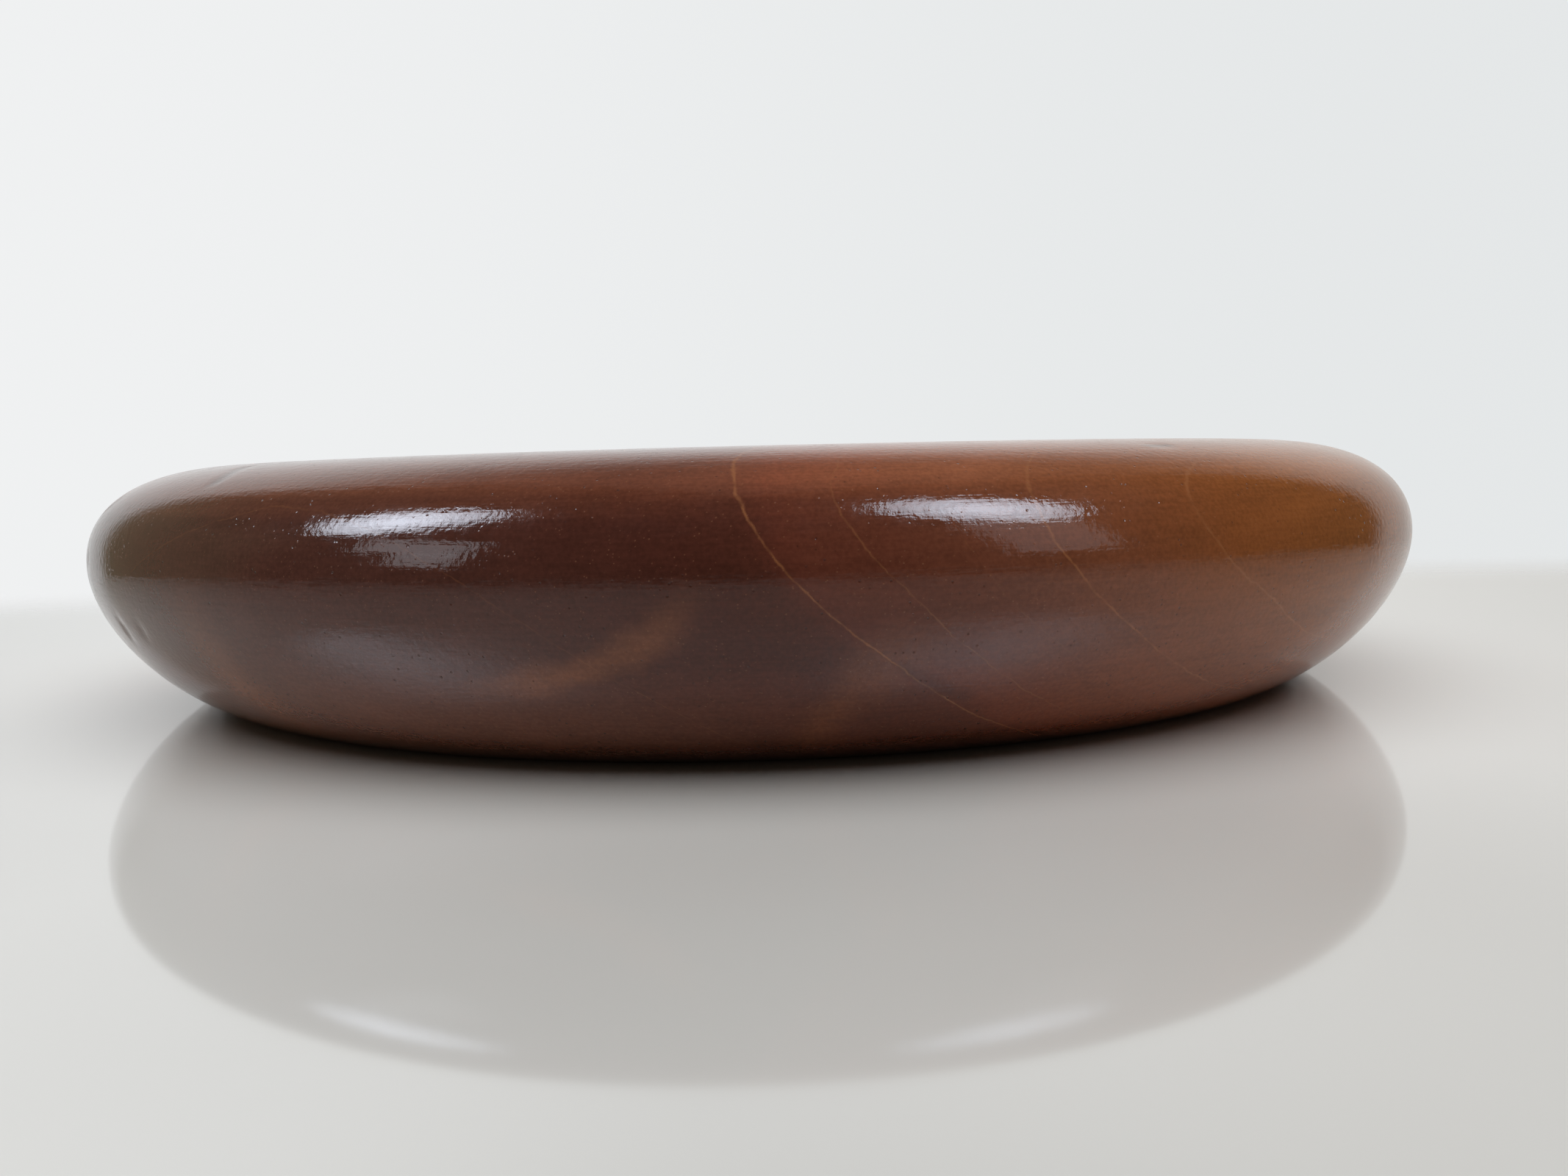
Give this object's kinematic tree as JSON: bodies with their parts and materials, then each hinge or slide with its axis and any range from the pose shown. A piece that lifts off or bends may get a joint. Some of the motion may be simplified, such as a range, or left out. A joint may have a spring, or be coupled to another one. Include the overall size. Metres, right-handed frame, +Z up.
{
  "type": "go stone bowl",
  "caption": "Low round turned-wood bowl with a rolled-over rim and a drop-in lid, for holding go stones beside the board.",
  "frame": {"origin": "centre of the foot, on the surface that the bowl stands on", "axes": "+Z up, along the axis that the bowl and its lid are turned about; -Y is the front"},
  "size_m": [0.2, 0.2, 0.0338],
  "materials": {
    "bowl_wood": "red-brown turned hardwood with fine pale growth lines, under glossy clear lacquer",
    "lid_wood": "red-brown turned hardwood with fine pale growth lines, under glossy clear lacquer"
  },
  "bodies": {
    "bowl": {"bowl": "bowl_wood"},
    "lid": {"lid": "lid_wood"}
  },
  "joints": [
    {"name": "lid_lift", "type": "slide", "parent": "bowl", "child": "lid", "axis": [0, 0, 1], "range_m": [0, 0.06]}
  ]
}
